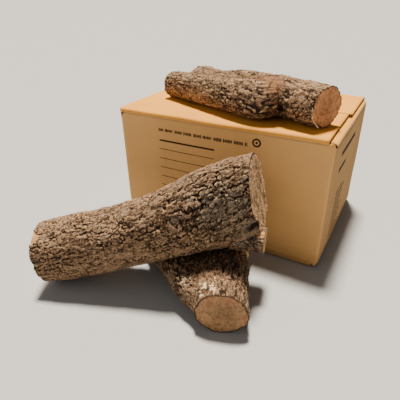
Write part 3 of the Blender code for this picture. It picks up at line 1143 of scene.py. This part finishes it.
def rim_splinter(name, node, shift, first, last, lift, width, finish):
    """A strip of torn inner bark that stands out from a cut's rim between two angles."""
    shape = Shape(RUNS[node], 0.004, 240)
    rim = shape.rings[0] + shift
    outward = shape.outward[0]
    normal = -shape.forward[0]
    count = 40
    points, faces = [], []
    sides = 8
    for step, t in enumerate(np.linspace(0, 1, count)):
        angle = math.radians(first + (last - first) * t)
        column = angle / math.tau * shape.sides
        low, share = int(column), column % 1
        here = rim[low % shape.sides] * (1 - share) + rim[(low + 1) % shape.sides] * share
        out = unit(outward[low % shape.sides])
        taper = (0.18 + 0.82 * t**1.5) * min(1.0, 12 * (1 - t) + 0.05)
        ragged = 1 + 0.30 * math.sin(23 * t) + 0.20 * math.sin(51 * t + 1)
        middle = here + out * (0.0006 + 0.0030 * t**6) + normal * (lift * (0.15 + 0.85 * t))
        for side in range(sides):
            turn = math.tau * side / sides
            thin = out * 0.00085 * taper * math.cos(turn)
            points.append(middle + thin + normal * width * taper * ragged * 0.5 * math.sin(turn))
        if step:
            base = (step - 1) * sides
            for side in range(sides):
                after = (side + 1) % sides
                faces.append([base + side, base + sides + side, base + sides + after, base + after])
    faces.append(list(range(sides)))
    faces.append([(count - 1) * sides + side for side in reversed(range(sides))])
    made = mesh_piece(name, points, faces, [finish], values={"tone": np.linspace(0, 1, len(points))})
    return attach(made, BODY)


def fibre_finish(name, colour):
    made = Finish(name)
    place = made.node("ShaderNodeTexCoord", {}, {}, "Object")
    fine = made.noise(made.scaled(place, (1, 1, 0.3)), 900.0, 3.0)
    body = made.between(made.ramp(fine, 0.3, 0.7), colour, 0.6, 1.0)
    made.finish(Base_Color=body, Roughness=0.85, Normal=made.bump(fine, 0.0004, 0.6), Specular_IOR_Level=0.2)
    return made.material


# ---- Camera and lights ----

LENS = 34.2  # millimetres, on a 36 mm sensor
EYE = (0.5163, -0.5845, 0.4578)  # from the carton's front left corner
EYE_TURN, EYE_LIFT, EYE_ROLL = (math.radians(angle) for angle in (29.6, 29.2, -0.88))
KEY_FROM, KEY_COLOUR = (-0.16, 0.25, 1.0), (1.0, 0.91, 0.77)
FRONT_FROM, FRONT_COLOUR = (-0.9, -1.0, 0.3), (1.0, 0.97, 0.94)
SKY_COLOUR = (1.0, 0.985, 0.96, 1.0)
FLOOR_LEVEL = -0.0002


def camera_place():
    """The camera's matrix, from where it stands and how it is turned."""
    flat = math.cos(EYE_LIFT)
    back = Vector((math.sin(EYE_TURN) * flat, -math.cos(EYE_TURN) * flat, math.sin(EYE_LIFT)))
    level = Vector((math.cos(EYE_TURN), math.sin(EYE_TURN), 0.0))
    up = back.cross(level)
    right = math.cos(EYE_ROLL) * level + math.sin(EYE_ROLL) * up
    place = Matrix((right, back.cross(right), back)).transposed().to_4x4()
    place.translation = Vector(EYE) + Vector((CARTON_LOW.x, CARTON_LOW.y, 0.0))
    return place


# ---- Settings ----


def colour_setting(name, description, default):
    return FloatVectorProperty(
        name=name, description=description, default=default, size=3, min=0.0, max=1.0, subtype="COLOR"
    )


class BarkSettings(PropertyGroup):
    # Light and dark bark mix by random tone and also by painted highlights on ridges and tops and painted
    # shade in hollows.
    light: colour_setting("Light bark", "Colour of the plates that catch the light", (0.305, 0.184, 0.106))
    dark: colour_setting("Dark bark", "Colour of the plates between them", (0.036, 0.0195, 0.0115))
    weathered: colour_setting(
        "Weathered bark", "Grey of bark that has stood in the weather", (0.150, 0.118, 0.086)
    )
    # Broken bark also colours pale specks that are partly painted highlights.
    fresh_and_highlight: colour_setting("Broken bark", "Colour of plates that broke lately", (0.66, 0.43, 0.23))
    inner: colour_setting("Inner bark", "Red-brown of the smooth bark in a fork", (0.22, 0.105, 0.050))
    # The cracks' colour is partly painted shade in the bark's hollows.
    crack: colour_setting("Cracks", "Colour deep between the plates", (0.018, 0.009, 0.005))
    moss: colour_setting("Moss", "Colour of the green growth on the damp side", (0.16, 0.15, 0.04))
    lichen: colour_setting("Lichen", "Colour of the pale crusts", (0.78, 0.60, 0.38))
    wood: colour_setting("Bare wood", "Colour of wood where the bark is off", (0.62, 0.32, 0.13))
    sawn: colour_setting("Sawn wood", "Colour of the lower log's cut", (0.44, 0.240, 0.110))
    sawn_red: colour_setting("Reddish sawn wood", "Colour of the upper log's cut", (0.66, 0.290, 0.115))
    torn: colour_setting("Torn wood", "Colour of the leaning log's torn face", (0.92, 0.575, 0.310))


class BoardSettings(PropertyGroup):
    board: colour_setting("Board", "Colour of the kraft paper", (0.76, 0.425, 0.155))
    ink: colour_setting("Ink", "Colour of the printed rules", (0.018, 0.008, 0.010))
    bow: FloatProperty(
        name="Bow", description="How far the carton's panels bow out", default=0.0016, min=0.0, max=0.006,
        unit="LENGTH"
    )


class StageSettings(PropertyGroup):
    floor: colour_setting("Floor", "Colour of the floor", (0.46, 0.46, 0.46))
    floor_size: FloatProperty(
        name="Floor size", description="Width of the floor", default=60.0, min=2.0, unit="LENGTH"
    )
    key: FloatProperty(name="Key light", description="Strength of the main light", default=9.5, min=0.0)
    fill: FloatProperty(
        name="Fill light", description="Strength of the light from all round", default=0.15, min=0.0
    )
    front: FloatProperty(
        name="Front light", description="Strength of the soft light from the front", default=0.78, min=0.0
    )


# ---- Operators ----


class FIREWOOD_OT_forked_log(Operator):
    """Make the log on the lid, a stem with a limb that runs back beside it"""

    bl_idname = "firewood.forked_log"
    bl_label = "Forked Log"

    def execute(self, context):
        colours = context.scene.firewood_bark
        shift = settled_shift("forked_log_stem")
        look = Look(tone=1.10, grey=0.12, moss=0.18, red=0.90, specks=0.6)
        bark = bark_finish("bark of forked log", colours, look)
        cut = cut_finish(
            "sawn wood, reddish", sap=rgb(colours.sawn_red), heart=shade(colours.sawn_red, 0.72),
            bark=(0.13, 0.07, 0.035), ring_width=0.0021, stain=(0.30, 0.08, 0.03)
        )
        end = LogEnd(cut, saw_marks, 16)
        stem_tree = moved_tree("forked_log_stem", shift)
        limb_tree = moved_tree("forked_log_limb", shift)
        bark_log(
            "forked_log_stem", shift, BARKS["forked"], seed=101, skin=bark, ends=[end, end], radius=0.033,
            others=[limb_tree], floor=LID + REST_GAP, weld=FORK_WELD,
            swellings=[
                Patch(0.285, 80, 0.014, 0.018, 0.0035), Patch(0.175, 95, 0.022, 0.020, 0.0030),
                Patch(0.240, 85, 0.018, 0.020, -0.0025), Patch(0.068, 200, 0.010, 0.016, -0.0085)
            ],
            # Painted shade in the crevice under the limb's shoulder, and painted light near the top of the
            # right end.
            stains_and_shading=[
                Patch(0.066, 200, 0.016, 0.022, 1.8), Patch(0.069, 203, 0.007, 0.015, 4.5),
                Patch(0.030, 105, 0.035, 0.022, -0.5)
            ],
            fork=Patch(0.105, 110, 0.040, 0.045, 0)
        )
        bark_log(
            "forked_log_limb", shift, BARKS["forked"], seed=131, skin=bark, ends=[end, end], radius=0.028,
            others=[stem_tree], floor=LID + REST_GAP, weld=FORK_WELD,
            swellings=[Patch(0.045, 250, 0.020, 0.020, 0.0030)],
            # Painted shade at the limb's end and along its lower front, and painted light on its front further
            # back.
            stains_and_shading=[
                Patch(0.060, 215, 0.060, 0.020, 0.6), Patch(0.165, 186, 0.060, 0.022, -0.65),
                Patch(0.000, 200, 0.008, 0.03, 1.5)
            ],
            fork=Patch(0.014, 135, 0.034, 0.055, 0)
        )
        strip = fibre_finish("torn bast", (0.85, 0.66, 0.44))
        rim_splinter(
            "forked-log-splinter", "forked_log_stem", shift, first=172, last=244, lift=0.0020, width=0.0048,
            finish=strip
        )
        return {"FINISHED"}


class FIREWOOD_OT_leaning_log(Operator):
    """Make the log that leans across the lower one, with the stub of a cut branch under its torn end"""

    bl_idname = "firewood.leaning_log"
    bl_label = "Leaning Log"

    def execute(self, context):
        colours = context.scene.firewood_bark
        shift = settled_shift("leaning_log_stem")
        look = Look(tone=1.0, grey=0.65, moss=0.06, red=0.3, specks=0.45)
        bark = bark_finish("bark of leaning log", colours, look)
        torn = cut_finish(
            "torn wood", sap=rgb(colours.torn), heart=shade(colours.torn, 0.85), bark=(0.10, 0.06, 0.035),
            ring_width=0.003, stain=(0.45, 0.22, 0.10), fibres=True
        )
        sawn = cut_finish(
            "sawn wood, pale", sap=rgb(colours.torn), heart=shade(colours.torn, 0.8),
            bark=(0.10, 0.06, 0.035), ring_width=0.0022, stain=(0.35, 0.15, 0.06)
        )
        lower_shift = settled_shift("lower_log_stem")
        below = [moved_tree(node, lower_shift) for node in ("lower_log_stem", "lower_log_limb")]
        bark_log(
            "leaning_log_stem", shift, BARKS["leaning"], seed=211, skin=bark,
            ends=[LogEnd(torn, torn_fibres, 34), LogEnd(sawn, saw_marks, 12)], radius=0.055,
            others=[moved_tree("leaning_log_stub", shift)], bare=[Patch(0.385, 118, 0.013, 0.013, 0.0030)],
            swellings=[Patch(0.004, 228, 0.018, 0.017, -0.0130)],
            # Painted shade on the front by the torn end and in the crevice under it, and painted light along
            # the front and lower front and on top by the torn end.
            stains_and_shading=[
                Patch(0.050, 170, 0.060, 0.045, 1.1), Patch(0.008, 232, 0.022, 0.022, 2.0),
                Patch(0.010, 228, 0.010, 0.012, 4.0), Patch(0.110, 205, 0.080, 0.025, -0.45),
                Patch(0.215, 178, 0.045, 0.022, -0.9), Patch(0.300, 205, 0.080, 0.026, -0.7),
                Patch(0.340, 160, 0.040, 0.030, -0.3), Patch(0.010, 95, 0.040, 0.030, -0.8)
            ],
            floor=0.0, keep_off=below[1]
        )
        bark_log(
            "leaning_log_stub", shift, BARKS["lower"], seed=241, skin=bark,
            ends=[LogEnd(sawn, torn_fibres, 14), LogEnd(sawn, saw_marks, 6)], radius=0.024,
            bare=[Patch(0.006, 118, 0.012, 0.008, 0.0015)], stains_and_shading=[Patch(0.030, 150, 0.020, 0.030, 0.8)],
            keep_off=below[0]
        )
        return {"FINISHED"}


class FIREWOOD_OT_lower_log(Operator):
    """Make the log that lies on the floor under the leaning one, and the lichen on it"""

    bl_idname = "firewood.lower_log"
    bl_label = "Lower Log"

    def execute(self, context):
        colours = context.scene.firewood_bark
        shift = settled_shift("lower_log_stem")
        look = Look(tone=0.80, grey=0.40, moss=0.25, red=0.15, specks=0.5)
        bark = bark_finish("bark of lower log", colours, look)
        sawn = cut_finish(
            "sawn wood, brown", sap=rgb(colours.sawn), heart=shade(colours.sawn, 0.72),
            bark=(0.085, 0.045, 0.022), ring_width=0.0024, stain=(0.36, 0.10, 0.05)
        )
        end = LogEnd(sawn, saw_marks, 18)
        stem = bark_log(
            "lower_log_stem", shift, BARKS["lower"], seed=311, skin=bark, ends=[end, end], radius=0.041,
            others=[moved_tree("lower_log_limb", shift)], floor=0.0,
            swellings=[Patch(0.075, 35, 0.030, 0.026, 0.0040)]
        )
        limb = bark_log(
            "lower_log_limb", shift, BARKS["lower"], seed=341, skin=bark, ends=[end, end], radius=0.036,
            others=[moved_tree("lower_log_stem", shift)], floor=0.0
        )
        draw = np.random.default_rng(8)
        crust = lichen_finish(colours)
        for name, piece, count, (near, far), (low, high) in (
            ("lower-log-lichen", stem, 15, (0.005, 0.034), (98, 138)),
            ("lower-limb-lichen", limb, 9, (0.034, 0.058), (118, 152))
        ):
            spots = [
                (draw.uniform(near, far), draw.uniform(low, high), 0.0014 + 0.0030 * draw.random() ** 2)
                for _ in range(count)
            ]
            lichen_patches(name, piece, spots, crust, 9)
        return {"FINISHED"}


class FIREWOOD_OT_carton(Operator):
    """Make the closed carton: its walls, and each flap with its own fold"""

    bl_idname = "firewood.carton"
    bl_label = "Carton"

    def execute(self, context):
        settings = context.scene.firewood_board
        finishes = [board_finish(settings), cut_board_finish(settings)]
        make_walls(settings, finishes)
        for level, side in itertools.product(("lid", "base"), ("front", "back", "left", "right")):
            make_flap(f"carton_{level}_flap_{side}", settings, finishes)
        return {"FINISHED"}


class FIREWOOD_OT_stage(Operator):
    """Make the floor, the lights and the camera"""

    bl_idname = "firewood.stage"
    bl_label = "Stage"

    def execute(self, context):
        settings = context.scene.firewood_stage
        half = settings.floor_size / 2
        made = Finish("pale floor")
        place = made.node("ShaderNodeTexCoord", {}, {}, "Object")
        grains = made.noise(place, 60.0, 2.0)
        made.finish(Base_Color=rgb(settings.floor), Roughness=made.ramp(grains, 0.3, 0.7, 0.85, 0.95))
        corners = [(x * half, y * half, FLOOR_LEVEL) for x, y in ((-1, -1), (1, -1), (1, 1), (-1, 1))]
        mesh_piece("floor", corners, [[0, 1, 2, 3]], [made.material])
        world = bpy.data.worlds.new("studio")
        world.use_nodes = True
        sky = world.node_tree.nodes["Background"].inputs
        sky["Color"].default_value = SKY_COLOUR
        sky["Strength"].default_value = settings.fill
        context.scene.world = world
        for name, energy, spread_angle, from_there, colour in (
            ("key", settings.key, 9, KEY_FROM, KEY_COLOUR),
            ("front light", settings.front, 80, FRONT_FROM, FRONT_COLOUR)
        ):
            light = bpy.data.lights.new(name, "SUN")
            light.energy = energy
            light.angle = math.radians(spread_angle)
            light.color = colour
            lamp = bpy.data.objects.new(name, light)
            lamp.rotation_euler = Vector(from_there).to_track_quat("Z", "Y").to_euler()
            context.scene.collection.objects.link(lamp)
        camera = bpy.data.cameras.new("camera")
        camera.sensor_width = 36.0
        camera.lens = LENS
        camera.clip_start = 0.01
        eye = bpy.data.objects.new("camera", camera)
        context.scene.collection.objects.link(eye)
        eye.matrix_world = camera_place()
        context.scene.camera = eye
        return {"FINISHED"}


class FIREWOOD_PT_sidebar(Panel):
    """The pieces of the bundle, and what can be changed on them"""

    bl_label = "Firewood Bundle"
    bl_idname = "FIREWOOD_PT_sidebar"
    bl_space_type = "VIEW_3D"
    bl_region_type = "UI"
    bl_category = "Firewood"

    def draw(self, context):
        layout = self.layout
        for settings in (
            context.scene.firewood_bark, context.scene.firewood_board, context.scene.firewood_stage
        ):
            for name in settings.__annotations__:
                layout.prop(settings, name)
        for operator in PIECES:
            layout.operator(operator.bl_idname)


PIECES = (
    FIREWOOD_OT_forked_log, FIREWOOD_OT_leaning_log, FIREWOOD_OT_lower_log, FIREWOOD_OT_carton,
    FIREWOOD_OT_stage
)
CLASSES = (BarkSettings, BoardSettings, StageSettings, *PIECES, FIREWOOD_PT_sidebar)


def register():
    for cls in CLASSES:
        bpy.utils.register_class(cls)
    bpy.types.Scene.firewood_bark = PointerProperty(type=BarkSettings)
    bpy.types.Scene.firewood_board = PointerProperty(type=BoardSettings)
    bpy.types.Scene.firewood_stage = PointerProperty(type=StageSettings)


def unregister():
    del bpy.types.Scene.firewood_bark
    del bpy.types.Scene.firewood_board
    del bpy.types.Scene.firewood_stage
    for cls in reversed(CLASSES):
        bpy.utils.unregister_class(cls)


def main():
    register()
    bpy.ops.firewood.forked_log()
    bpy.ops.firewood.leaning_log()
    bpy.ops.firewood.lower_log()
    bpy.ops.firewood.carton()
    bpy.ops.firewood.stage()


if __name__ == "__main__":
    main()
